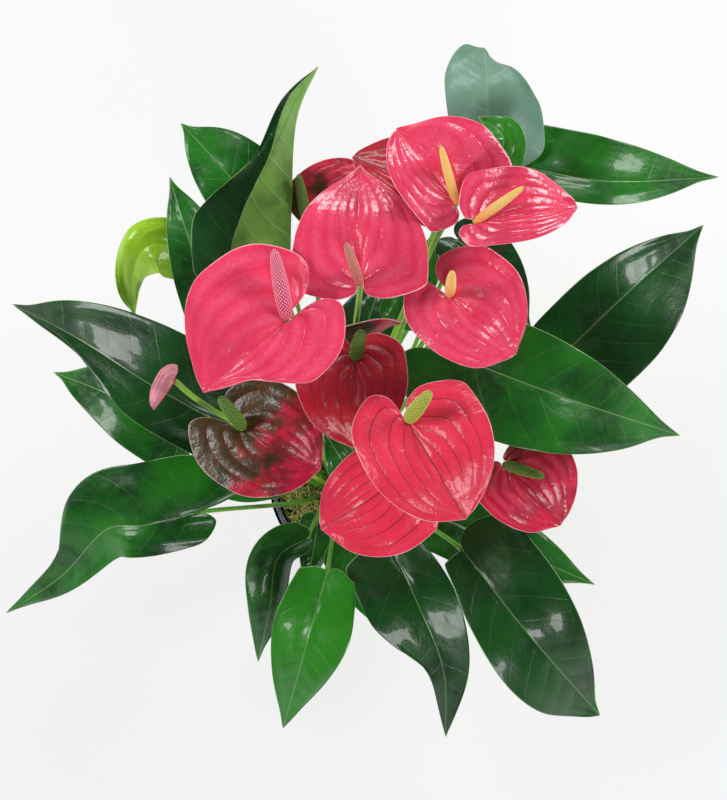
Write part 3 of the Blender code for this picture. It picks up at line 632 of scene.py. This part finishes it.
def mesh_of(bm, name, facing=None):
    """The bmesh as a smooth mesh. Facing is a direction that the first face of an open sheet looks in."""
    bmesh.ops.remove_doubles(bm, verts=bm.verts, dist=MERGE)
    bmesh.ops.dissolve_degenerate(bm, edges=bm.edges, dist=MERGE)
    bmesh.ops.recalc_face_normals(bm, faces=bm.faces)
    bm.faces.ensure_lookup_table()
    if facing is not None and bm.faces[len(bm.faces) // 3].normal.dot(facing) < 0:
        bmesh.ops.reverse_faces(bm, faces=bm.faces)
    mesh = bpy.data.meshes.new(name)
    bm.to_mesh(mesh)
    bm.free()
    mesh.shade_smooth()
    return mesh


def grow(bm, columns, rows, place, names):
    """Adds a grid to a bmesh and puts each of its points where place(u, v) says, with its map values."""
    layers = [bm.loops.layers.uv.get(name) or bm.loops.layers.uv.new(name) for name in names]
    grid = bmesh.ops.create_grid(bm, x_segments=columns, y_segments=rows, size=1)["verts"]
    said = {}
    for vert in grid:
        spot, *values = place(vert.co.x, (vert.co.y + 1) / 2)
        said[vert] = values
        vert.co = spot
    for face in {face for vert in grid for face in vert.link_faces}:
        for loop in face.loops:
            for layer, value in zip(layers, said[loop.vert]):
                loop[layer].uv = value


def smooth_through(points, steps):
    """Points of a Catmull-Rom curve through the given ones, with so many steps in each stretch."""
    ends = [points[0] * 2 - points[1], *points, points[-1] * 2 - points[-2]]
    found = []
    for before, first, last, after in zip(ends, ends[1:], ends[2:], ends[3:]):
        for step in range(steps):
            t = step / steps
            found.append(0.5 * (2 * first + (last - before) * t
                                + (2 * before - 5 * first + 4 * last - after) * t ** 2
                                + (3 * first - before - 3 * last + after) * t ** 3))
    return found + [points[-1]]


def along(points, share):
    """The point at a share of the way through a list of points, which are evenly spaced in share."""
    place = min(max(share, 0), 1) * (len(points) - 1)
    index = min(int(place), len(points) - 2)
    return points[index].lerp(points[index + 1], place - index)


def above_rim(point):
    """A table point, in millimetres from the centre of the rim, as a place in the part's frame."""
    return Vector(point) * MM + Vector((0, 0, POT_HEIGHT))


class Path:
    """A line through points, with smooth directions that can be read at any distance along it."""

    def __init__(self, points):
        self.points = points
        self.reach = [0]
        for first, last in zip(points, points[1:]):
            self.reach.append(self.reach[-1] + (last - first).length)
        self.length = self.reach[-1]
        ends = [points[0] * 2 - points[1], *points, points[-1] * 2 - points[-2]]
        self.ways = [(after - before).normalized() for before, after in zip(ends, ends[2:])]
        self.index = 1

    def at(self, distance):
        """(point, direction) at a distance. Before the start and past the end the line is straight."""
        index = self.index
        while index < len(self.reach) - 1 and self.reach[index] < distance:
            index += 1
        while index > 1 and self.reach[index - 1] > distance:
            index -= 1
        self.index = index
        share = (distance - self.reach[index - 1]) / (self.reach[index] - self.reach[index - 1])
        first, last = self.points[index - 1], self.points[index]
        way = self.ways[index - 1].lerp(self.ways[index], min(max(share, 0), 1))
        return first + (last - first) * share, way.normalized()


def ridge_of(blade):
    return Path(smooth_through([above_rim(point) for point in blade.spine], CURVE_STEPS))


def blade_frame(blade, ridge, distance):
    """(point, forward, right, normal) of the middle ridge at a distance from the attachment."""
    point, forward = ridge.at(distance)
    right = forward.cross(Vector(blade.facing)).normalized()
    return point, forward, right, right.cross(forward)


def margin_point(outline, blade, side, share, reach):
    """A point of one half's outline: (along the ridge, out from it)."""
    corner = along(outline, share)
    return Vector((corner.x * (blade.lobes[side] * MM if corner.x < 0 else reach),
                   corner.y * blade.widths[side] * MM))


def leaf_vein(x, y, reach, width):
    """Which side vein passes a point of a half blade. Whole numbers are veins, negative in the lobes."""
    bent = x - 0.35 * y * y / width
    if bent - 0.55 * y > 0:
        return (bent - 0.55 * y) / (reach / 9)
    angle = math.atan2(y, bent) - math.atan2(1, 0.55)
    return -angle / math.radians(30)


def eased(value, low, high):
    """0 up to low, 1 from high, smooth between."""
    share = min(max((value - low) / (high - low), 0), 1)
    return share * share * (3 - 2 * share)


class BladeForm:
    """Places the points of one blade: its outline, its folds, its veins and the waves of its margins."""

    def __init__(self, blade, seed, shapes, collar, vein_depth, broad):
        self.blade = blade
        self.seed = seed
        self.ridge = ridge_of(blade)
        self.outlines = [smooth_through([Vector(corner) for corner in shape], CURVE_STEPS) for shape in shapes]
        self.collar = collar
        self.vein_depth = vein_depth
        self.broad = broad

    def veins(self, lane, share, x, y, width):
        """(which vein, how clearly it shows)."""
        if self.broad:
            bent = 0.22 * noise.noise(Vector((lane * 2, share * 2, self.seed * 5.3)))
            return abs(lane) ** 0.8 * 5 + bent, eased(share, 0.0, 0.12) * (1 - eased(share, 0.45, 0.88)) * eased(
                abs(lane), 0.05, 0.16) * (1 - eased(abs(lane), 0.86, 0.97))
        phase = leaf_vein(x, y, self.ridge.length, width)
        return phase, eased(y / width, 0.03, 0.12) * (1 - eased(abs(lane), 0.80, 0.95)) * (
            1 - eased(x / self.ridge.length, 0.75, 0.95))

    def relief(self, lane, share, y, phase, strength):
        """How far the skin stands out of the plain curved blade."""
        depth = self.vein_depth
        near = abs(phase - round(phase))
        sunk = -depth * math.exp(-(near / 0.17) ** 2) * strength
        rib = -1.3 * depth * math.exp(-(y / (2.2 * MM)) ** 2) * (1 - share)
        wave = self.blade.ripple * MM * abs(lane) ** 3 * math.sin(
            math.tau * (3.1 * share + 0.37 * self.seed + (0.45 if lane > 0 else 0)))
        rough = noise.noise(Vector((lane * 2.5, share * 5, self.seed * 3.7))) * 1.6 * MM * eased(abs(lane), 0, 0.5)
        return sunk + rib + (wave + rough) * eased(share, 0, 0.2) * (1 - eased(share, 0.9, 1.0))

    def __call__(self, u, share):
        side = u > 0
        lane = math.copysign(abs(u) ** 1.25, u)
        reach = self.ridge.length
        width = self.blade.widths[side] * MM
        margin = margin_point(self.outlines[side], self.blade, side, share, reach)
        flat = Vector((reach * share, 0)).lerp(margin, abs(lane))
        rung = (margin - Vector((reach * share, 0))).length
        turn = NOTCH_ANGLE * abs(lane)
        flat = flat + Vector((math.cos(turn), math.sin(turn))) * self.collar * (1 - share) ** 2
        x, y = flat
        phase, strength = self.veins(lane, share, x, y, width)
        point, _, right, normal = blade_frame(self.blade, self.ridge, x)
        tilt = math.radians(self.blade.folds[side] + self.blade.curls[side] * y / width)
        sign = 1 if side else -1
        out = normal * math.cos(tilt) - right * sign * math.sin(tilt)
        spot = point + right * sign * math.cos(tilt) * y + normal * math.sin(tilt) * y
        spot += out * self.relief(lane, share, y, phase, strength)
        return (spot, (phase, strength), (x, y * sign), ((1 - abs(lane)) * rung / MM, abs(y) / MM))


def blade_mesh(name, form, lanes, rows):
    bm = bmesh.new()
    grow(bm, lanes, rows, form, ("Veins", "Lie", "Edge"))
    facing = blade_frame(form.blade, form.ridge, form.ridge.length / 3)[3]
    return mesh_of(bm, name, facing)


def thicken(made, thickness):
    """Gives a sheet its thickness, with its second surface underneath, and rounds it."""
    solid = made.modifiers.new("Thickness", "SOLIDIFY")
    solid.thickness = thickness
    solid.offset = 0
    solid.material_offset = 1
    smooth = made.modifiers.new("Smooth", "SUBSURF")
    smooth.levels = smooth.render_levels = 1


def sweep(bm, path, radii, sides, names, values):
    """Adds a closed round skin along a list of points, with a radius at each and its map values."""
    line = Path(path)
    across = [line.ways[0].orthogonal().normalized()]
    for way in line.ways[1:]:
        across.append((across[-1] - way * across[-1].dot(way)).normalized())
    last = len(path) - 1

    def place(u, v):
        row = round(v * last)
        angle = math.pi * (u + 1)
        first, way = across[row], line.ways[row]
        out = first * math.cos(angle) + way.cross(first) * math.sin(angle)
        radius = radii[row](angle) if callable(radii[row]) else radii[row]
        return (path[row] + out * radius, *values(u, line.reach[row]))

    grow(bm, sides, last, place, names)


def stem_feet():
    """Where each stem stands on the crown: its blade's place drawn in, then pushed clear of the others."""
    feet = [above_rim(leaf.spine[0]).xy * PETIOLE_SPREAD * CROWN_RADIUS for leaf in LEAVES]
    feet += [above_rim(flower.spathe.spine[0]).xy * STALK_SPREAD * CROWN_RADIUS for flower in FLOWERS]
    spacing = STEM_SPACING * CROWN_RADIUS
    reach = STEM_REACH * CROWN_RADIUS
    for _ in range(SPREAD_PASSES):
        for i, first in enumerate(feet):
            for second in feet[:i]:
                apart = first - second
                if apart.length < spacing:
                    push = apart.normalized() * (spacing - apart.length) / 2
                    first += push
                    second -= push
        for foot in feet:
            if foot.length > reach:
                foot *= reach / foot.length
    return feet


def stem_points(foot, end, arrival, sway):
    """From a foot on the crown straight up, then in one bow to the end, arriving in a given direction."""
    start_point = Vector((*foot, CROWN_TOP - STEM_FOOT))
    rise = Vector((*foot, CROWN_TOP + FIT_GAP + STEM_FOOT))
    bow = (end - rise).length * STEM_BOW
    lean = rise + Vector((sway[0] * MM, sway[1] * MM, bow))
    curve = interpolate_bezier(rise, lean, end - arrival.normalized() * bow, end, STEM_POINTS)
    return [start_point, *curve]


def stem_mesh(name, path, radii):
    """A stem with rounded ends."""
    path = [path[0], *path, path[-1]]
    radii = [0, *radii, 0]
    for place in (0, -1):
        path[place] = path[place] + (path[place] - path[2 if place == 0 else -3]).normalized() * MERGE * 5
    bm = bmesh.new()
    sweep(bm, path, radii, STEM_SIDES, ("Stem",), lambda u, distance: ((u, distance / MM / 30),))
    return mesh_of(bm, name)


def swelling(count, radius, foot, neck):
    """Radii of a stem that is thicker where it leaves the crown and again in a joint below its blade."""
    radii = []
    for index in range(count):
        share = index / (count - 1)
        radii.append(radius * (1 + foot * (1 - eased(share, 0, 0.2)) + neck * eased(share, 0.84, 0.93)))
    return radii


def spadix_mesh(name, base, tip, radius, foot):
    """A spadix: a blunt taper whose skin rises in rows of small flowers."""
    shape = smooth_through([Vector(step) for step in SPADIX_SHAPE], CURVE_STEPS)
    reach = (tip - base).length
    rows = max(24, round(4 * reach / SPADIX_CELL))
    shares = [0.5 - 0.5 * math.cos(math.pi * (row / rows) ** 0.8) for row in range(rows + 1)]
    path, radii = [], []
    for share in shares:
        path.append(base.lerp(tip, share))
        nearest = min(range(len(shape) - 1), key=lambda i: abs(shape[i].x - share))
        neighbour = min(nearest + 1, len(shape) - 1) if shape[nearest].x <= share else nearest - 1
        low, high = sorted((shape[nearest], shape[neighbour]), key=lambda corner: corner.x)
        part = (share - low.x) / max(high.x - low.x, MERGE)
        size = radius * low.lerp(high, part).y * math.sqrt(min(1, max(0, (1 - share) * 14)))
        size = max(size, foot * (1 - 4 * share))
        radii.append(flower_rows(size, share * reach))
    radii[-1] = 0
    bm = bmesh.new()

    def cells(u, distance):
        return (((u + 1) / 2 * SPADIX_AROUND + distance / SPADIX_CELL / 2,
                 (u + 1) / 2 * SPADIX_AROUND - distance / SPADIX_CELL / 2), (distance / reach, 0))

    sweep(bm, path, radii, SPADIX_AROUND * 4, ("Cells", "Reach"), cells)
    return mesh_of(bm, name)


def flower_rows(size, distance):
    """The spadix's radius round one ring, by the angle, with its small flowers raised."""
    def radius(angle):
        first = angle * SPADIX_AROUND / 2 + math.pi * distance / SPADIX_CELL / 2
        second = angle * SPADIX_AROUND / 2 - math.pi * distance / SPADIX_CELL / 2
        return size * (0.90 + 0.16 * abs(math.sin(first) * math.sin(second)) ** 0.7)
    return radius


# ---- Operators ----

class ANTHURIUM_OT_pot(bpy.types.Operator):
    """Add the cast stone pot"""
    bl_idname = "anthurium.add_pot"
    bl_label = "Pot"
    bl_options = {"REGISTER", "UNDO"}

    def execute(self, context):
        sizes = context.scene.anthurium_sizes
        colours = context.scene.anthurium_colours
        foot = sizes.pot_radius - sizes.pot_taper
        slope = sizes.pot_taper / POT_HEIGHT
        inner = sizes.pot_radius - sizes.pot_wall
        floor = sizes.pot_wall
        corners = ((0, 0), (foot, 0), (sizes.pot_radius, POT_HEIGHT), (inner, POT_HEIGHT),
                   (foot + slope * floor - sizes.pot_wall, floor), (0, floor))
        bm = bmesh.new()
        verts = [bm.verts.new((radius, 0, height)) for radius, height in corners]
        edges = [bm.edges.new(pair) for pair in zip(verts, verts[1:])]
        bmesh.ops.subdivide_edges(bm, edges=edges, cuts=11)
        bmesh.ops.spin(bm, geom=bm.verts[:] + bm.edges[:], cent=(0, 0, 0), axis=(0, 0, 1), dvec=(0, 0, 0),
                       angle=math.tau, steps=96, use_merge=True)
        bmesh.ops.remove_doubles(bm, verts=bm.verts, dist=MERGE)
        bmesh.ops.recalc_face_normals(bm, faces=bm.faces)
        rims = [edge for edge in bm.edges if len(edge.link_faces) == 2 and edge.calc_face_angle() > 1]
        bmesh.ops.bevel(bm, geom=rims, offset=sizes.pot_edge, offset_type="OFFSET", segments=4, profile=0.5,
                        affect="EDGES", material=-1)
        for vert in bm.verts:
            radius = vert.co.xy.length
            if radius > foot * 0.5 and vert.co.z > MM:
                vert.co.xy *= 1 + 0.006 * noise.fractal(vert.co * 90, 0.8, 2.0, 3)
        mesh = mesh_of(bm, "stone_pot")
        place_piece("stone_pot", mesh, [stone_surface("cast_stone", colours.stone[:])], ["pot"])
        return {"FINISHED"}


class ANTHURIUM_OT_soil(bpy.types.Operator):
    """Give the soil its surface"""
    bl_idname = "anthurium.add_soil"
    bl_label = "Soil"
    bl_options = {"REGISTER", "UNDO"}

    def execute(self, context):
        colours = context.scene.anthurium_colours
        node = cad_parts["potting_soil"]
        surface = earth_surface("potting_soil", colours.soil[:], linear(0x4A3626), 2.0)
        node.data.materials.clear()
        node.data.materials.append(surface)
        return {"FINISHED"}


class ANTHURIUM_OT_crown(bpy.types.Operator):
    """Add the crown that every stem grows from"""
    bl_idname = "anthurium.add_crown"
    bl_label = "Crown"
    bl_options = {"REGISTER", "UNDO"}

    def execute(self, context):
        colours = context.scene.anthurium_colours
        height = CROWN_TOP - SOIL_TOP
        bm = bmesh.new()

        def place(u, v):
            angle = math.pi * (u + 1)
            flank = v < 0.5
            radius = CROWN_RADIUS * (1 if flank else 1 - (v - 0.5) * 2)
            level = SOIL_TOP + FIT_GAP + (height - 4 * MM) * min(1, v * 2)
            lump = noise.fractal(Vector((math.cos(angle), math.sin(angle), v * 3)) * 2.5, 0.8, 2.0, 4)
            level += 0 if flank else 4 * MM * (1 - (2 - 2 * v) ** 2) + lump * 0.8 * MM
            radius *= 1 - 0.03 * abs(lump)
            return (Vector((radius * math.cos(angle), radius * math.sin(angle), level)),)

        grow(bm, 64, 24, place, ())
        mesh = mesh_of(bm, "plant_crown")
        surface = earth_surface("crown_bark", colours.crown[:], linear(0x8A7A4A), 1.8)
        place_piece("plant_crown", mesh, [surface], ["crown"])
        return {"FINISHED"}


class ANTHURIUM_OT_moss(bpy.types.Operator):
    """Add the moss that covers the soil"""
    bl_idname = "anthurium.add_moss"
    bl_label = "Moss"
    bl_options = {"REGISTER", "UNDO"}

    def execute(self, context):
        sizes = context.scene.anthurium_sizes
        colours = context.scene.anthurium_colours
        rng = random.Random(7)
        surface = moss_surface("dried_moss", colours.moss[:], colours.moss_dry[:])
        bed = earth_surface("moss_bed", linear(0x2E3010), linear(0x6A6A22), 2.2)
        self.bed(bed)
        bm = bmesh.new()
        outer = (MOSS_HIGH.x - MOSS_LOW.x) / 2
        feet = stem_feet()
        for _ in range(sizes.moss_strands):
            radius = outer * math.sqrt(rng.uniform(0.0, 0.98))
            angle = rng.uniform(0, math.tau)
            spot = Vector((radius * math.cos(angle), radius * math.sin(angle),
                           MOSS_HIGH.z - 3.5 * MM if radius > CROWN_RADIUS else CROWN_TOP - 2 * MM))
            if any((spot.xy - foot).length < 2.4 * MM for foot in feet):
                continue
            self.strand(bm, rng, spot)
        mesh = mesh_of(bm, "moss_tufts")
        place_piece("moss_tufts", mesh, [surface], ["moss"])
        return {"FINISHED"}

    def strand(self, bm, rng, spot):
        """One curly strand that rises out of the bed and coils over."""
        turn = rng.uniform(0, math.tau)
        coil = rng.uniform(1.2, 2.8) * MM
        rise = rng.uniform(0.5, 1.4) * MM
        tone = rng.random() ** 1.2
        path = [spot]
        for step in range(6):
            turn += rng.uniform(0.5, 1.2)
            path.append(path[-1] + Vector((math.cos(turn) * coil, math.sin(turn) * coil,
                                           rise * (1.2 - 0.5 * step))))
        path = [Vector((*point.xy, min(point.z, POT_HEIGHT + 2 * MM))) for point in path]
        thick = rng.uniform(0.35, 0.65) * MM
        sweep(bm, path, [0, *[thick] * 5, 0], 3, ("Stem",), lambda u, distance: ((u, tone),))

    def bed(self, surface):
        """The mat under the strands: a ring with a lumpy top."""
        bm = bmesh.new()
        middle = (MOSS_HIGH.x - MOSS_LOW.x) / 2
        inner = CROWN_RADIUS + FIT_GAP

        def place(u, v):
            angle = math.pi * (u + 1)
            corner = (v * 4) % 4
            radius = (inner + (middle - inner) * corner, middle, middle - (middle - inner) * (corner - 2), inner)
            level = (MOSS_LOW.z, MOSS_LOW.z + (MOSS_HIGH.z - MOSS_LOW.z - 3 * MM) * (corner - 1),
                     MOSS_HIGH.z - 3 * MM, MOSS_HIGH.z - 3 * MM - (MOSS_HIGH.z - MOSS_LOW.z - 3 * MM) * (corner - 3))
            part = min(int(corner), 3)
            spot = Vector((radius[part] * math.cos(angle), radius[part] * math.sin(angle), level[part]))
            if part in (1, 2):
                spot.z += 1.5 * MM * noise.fractal(spot * 160, 0.8, 2.0, 4) * min(1, corner - 1)
            return (spot,)

        grow(bm, 96, 32, place, ())
        place_piece("moss_bed", mesh_of(bm, "moss_bed"), [surface], ["moss"])


class ANTHURIUM_OT_leaf_blades(bpy.types.Operator):
    """Add the leaf blades"""
    bl_idname = "anthurium.add_leaf_blades"
    bl_label = "Leaf blades"
    bl_options = {"REGISTER", "UNDO"}

    def execute(self, context):
        sizes = context.scene.anthurium_sizes
        colours = context.scene.anthurium_colours
        looks = leaf_looks(colours)
        for number, leaf in enumerate(LEAVES, 1):
            name = f"leaf_blade_{number:02}"
            form = BladeForm(leaf, number, leaf.outlines or (HEART, HEART), 0, sizes.leaf_vein_depth, False)
            mesh = blade_mesh(name, form, LEAF_LANES, LEAF_ROWS)
            made = place_piece(name, mesh, looks[leaf.finish], [f"leaf_{number:02}"])
            thicken(made, sizes.leaf_thickness)
        return {"FINISHED"}


class ANTHURIUM_OT_petioles(bpy.types.Operator):
    """Add the leaf stems"""
    bl_idname = "anthurium.add_petioles"
    bl_label = "Petioles"
    bl_options = {"REGISTER", "UNDO"}

    def execute(self, context):
        sizes = context.scene.anthurium_sizes
        colours = context.scene.anthurium_colours
        surface = stem_surface("petiole_skin", colours.petiole[:], linear(0x4E8C30))
        for number, (leaf, foot) in enumerate(zip(LEAVES, stem_feet()), 1):
            point, forward, _, normal = blade_frame(leaf, ridge_of(leaf), 0)
            path = stem_points(foot, point - normal * 0.6 * MM, normal + forward * PETIOLE_LEAN, leaf.sway)
            radii = swelling(len(path), sizes.petiole_radius, 0.25, 0.3)
            name = f"petiole_{number:02}"
            place_piece(name, stem_mesh(name, path, radii), [surface], [f"leaf_{number:02}"])
        return {"FINISHED"}


class ANTHURIUM_OT_spathes(bpy.types.Operator):
    """Add the spathes"""
    bl_idname = "anthurium.add_spathes"
    bl_label = "Spathes"
    bl_options = {"REGISTER", "UNDO"}

    def execute(self, context):
        sizes = context.scene.anthurium_sizes
        colours = context.scene.anthurium_colours
        looks = spathe_looks(colours)
        for number, flower in enumerate(FLOWERS, 1):
            name = f"spathe_skin_{number:02}"
            spathe = flower.spathe
            outlines = spathe.outlines or (BROAD_HEART, BROAD_HEART)
            form = BladeForm(spathe, number + 50, outlines, COLLAR * 0.6, sizes.spathe_vein_depth, True)
            mesh = blade_mesh(name, form, SPATHE_LANES, SPATHE_ROWS)
            made = place_piece(name, mesh, looks[spathe.finish], [f"spathe_{number:02}"])
            thicken(made, sizes.spathe_thickness)
        return {"FINISHED"}


class ANTHURIUM_OT_stalks(bpy.types.Operator):
    """Add the flower stalks"""
    bl_idname = "anthurium.add_stalks"
    bl_label = "Flower stalks"
    bl_options = {"REGISTER", "UNDO"}

    def execute(self, context):
        sizes = context.scene.anthurium_sizes
        colours = context.scene.anthurium_colours
        surface = stem_surface("stalk_skin", colours.stalk[:], linear(0x6AA030))
        for number, (flower, foot) in enumerate(zip(FLOWERS, stem_feet()[len(LEAVES):]), 1):
            point, _, _, normal = blade_frame(flower.spathe, ridge_of(flower.spathe), 0)
            path = stem_points(foot, point - normal * STIPE_LENGTH, normal + UP * STALK_UPRIGHT,
                               flower.spathe.sway)
            path.append(point - normal * MM)
            radii = swelling(len(path), sizes.stalk_radius, 0.2, 0)
            name = f"stalk_{number:02}"
            place_piece(name, stem_mesh(name, path, radii), [surface], [f"flower_stalk_{number:02}"])
        return {"FINISHED"}


class ANTHURIUM_OT_spadices(bpy.types.Operator):
    """Add the spadices"""
    bl_idname = "anthurium.add_spadices"
    bl_label = "Spadices"
    bl_options = {"REGISTER", "UNDO"}

    def execute(self, context):
        sizes = context.scene.anthurium_sizes
        colours = context.scene.anthurium_colours
        looks = spadix_looks(colours)
        for number, flower in enumerate(FLOWERS, 1):
            point, _, _, normal = blade_frame(flower.spathe, ridge_of(flower.spathe), 0)
            base = point - normal * MM
            name = f"spadix_{number:02}"
            mesh = spadix_mesh(name, base, above_rim(flower.spadix_tip), flower.spadix_radius * MM,
                               sizes.stalk_radius * 1.12)
            place_piece(name, mesh, [looks[flower.spadix]], [f"flower_stalk_{number:02}"])
        return {"FINISHED"}


class ANTHURIUM_OT_stage(bpy.types.Operator):
    """Add the floor, the soft lights and the camera"""
    bl_idname = "anthurium.add_stage"
    bl_label = "Stage"
    bl_options = {"REGISTER", "UNDO"}

    def execute(self, context):
        colours = context.scene.anthurium_colours
        self.floor(colours)
        self.lights()
        self.camera()
        return {"FINISHED"}

    def floor(self, colours):
        bm = bmesh.new()
        bmesh.ops.create_grid(bm, x_segments=1, y_segments=1, size=60)
        mesh = bpy.data.meshes.new("floor")
        bm.to_mesh(mesh)
        bm.free()
        made = bpy.data.objects.new("floor", mesh)
        bpy.context.scene.collection.objects.link(made)
        surface, _, node = start("painted_floor")
        node.inputs["Base Color"].default_value = (*[part * 0.38 for part in colours.floor], 1)
        node.inputs["Emission Color"].default_value = (*colours.floor, 1)
        node.inputs["Emission Strength"].default_value = 0.6
        node.inputs["Roughness"].default_value = 0.9
        node.inputs["Specular IOR Level"].default_value = 0.1
        mesh.materials.append(surface)

    def lights(self):
        world = bpy.data.worlds.new("studio")
        bpy.context.scene.world = world
        world.use_nodes = True
        world.node_tree.nodes["Background"].inputs["Color"].default_value = (1, 1, 1, 1)
        world.node_tree.nodes["Background"].inputs["Strength"].default_value = 0.16
        for name, spot, size, power in (
                ("softbox_left", (-1.5, 0.2, 1.15), (0.6, 0.8), 20),
                ("softbox_right", (1.5, 0.5, 1.15), (0.6, 0.7), 18),
                ("softbox_back", (0.1, 1.6, 1.2), (0.9, 0.45), 15),
                ("softbox_front", (0.4, -1.6, 1.0), (0.8, 0.5), 16)):
            data = bpy.data.lights.new(name, "AREA")
            data.shape = "RECTANGLE"
            data.size, data.size_y = size
            data.energy = power
            made = bpy.data.objects.new(name, data)
            made.location = spot
            made.rotation_euler = (Vector((0, 0, 0.25)) - Vector(spot)).to_track_quat("-Z", "Y").to_euler()
            bpy.context.scene.collection.objects.link(made)
        bpy.context.scene.view_settings.view_transform = "Standard"

    def camera(self):
        data = bpy.data.cameras.new("camera")
        data.lens = 50
        data.sensor_width = 36
        made = bpy.data.objects.new("camera", data)
        made.location = (0.0222, -0.1778, 1.0774)
        made.rotation_euler = Euler((math.radians(15), 0, 0))
        bpy.context.scene.collection.objects.link(made)
        bpy.context.scene.camera = made


OPERATORS = (ANTHURIUM_OT_pot, ANTHURIUM_OT_soil, ANTHURIUM_OT_crown, ANTHURIUM_OT_moss,
             ANTHURIUM_OT_leaf_blades, ANTHURIUM_OT_petioles, ANTHURIUM_OT_spathes, ANTHURIUM_OT_stalks,
             ANTHURIUM_OT_spadices, ANTHURIUM_OT_stage)


class ANTHURIUM_PT_sidebar(bpy.types.Panel):
    """The plant's sizes and colours, and a button for each piece"""
    bl_label = "Anthurium"
    bl_idname = "ANTHURIUM_PT_sidebar"
    bl_space_type = "VIEW_3D"
    bl_region_type = "UI"
    bl_category = "Anthurium"

    def draw(self, context):
        for group in (context.scene.anthurium_sizes, context.scene.anthurium_colours):
            box = self.layout.box()
            for key in group.__annotations__:
                box.prop(group, key)
        for operator in OPERATORS:
            self.layout.operator(operator.bl_idname)


CLASSES = (AnthuriumSizes, AnthuriumColours, *OPERATORS, ANTHURIUM_PT_sidebar)


def register():
    for cls in CLASSES:
        bpy.utils.register_class(cls)
    bpy.types.Scene.anthurium_sizes = bpy.props.PointerProperty(type=AnthuriumSizes)
    bpy.types.Scene.anthurium_colours = bpy.props.PointerProperty(type=AnthuriumColours)


def unregister():
    del bpy.types.Scene.anthurium_colours
    del bpy.types.Scene.anthurium_sizes
    for cls in reversed(CLASSES):
        bpy.utils.unregister_class(cls)


def main():
    register()
    bpy.ops.anthurium.add_pot()
    bpy.ops.anthurium.add_soil()
    bpy.ops.anthurium.add_crown()
    bpy.ops.anthurium.add_moss()
    bpy.ops.anthurium.add_leaf_blades()
    bpy.ops.anthurium.add_petioles()
    bpy.ops.anthurium.add_spathes()
    bpy.ops.anthurium.add_stalks()
    bpy.ops.anthurium.add_spadices()
    bpy.ops.anthurium.add_stage()


if __name__ == "__main__":
    main()
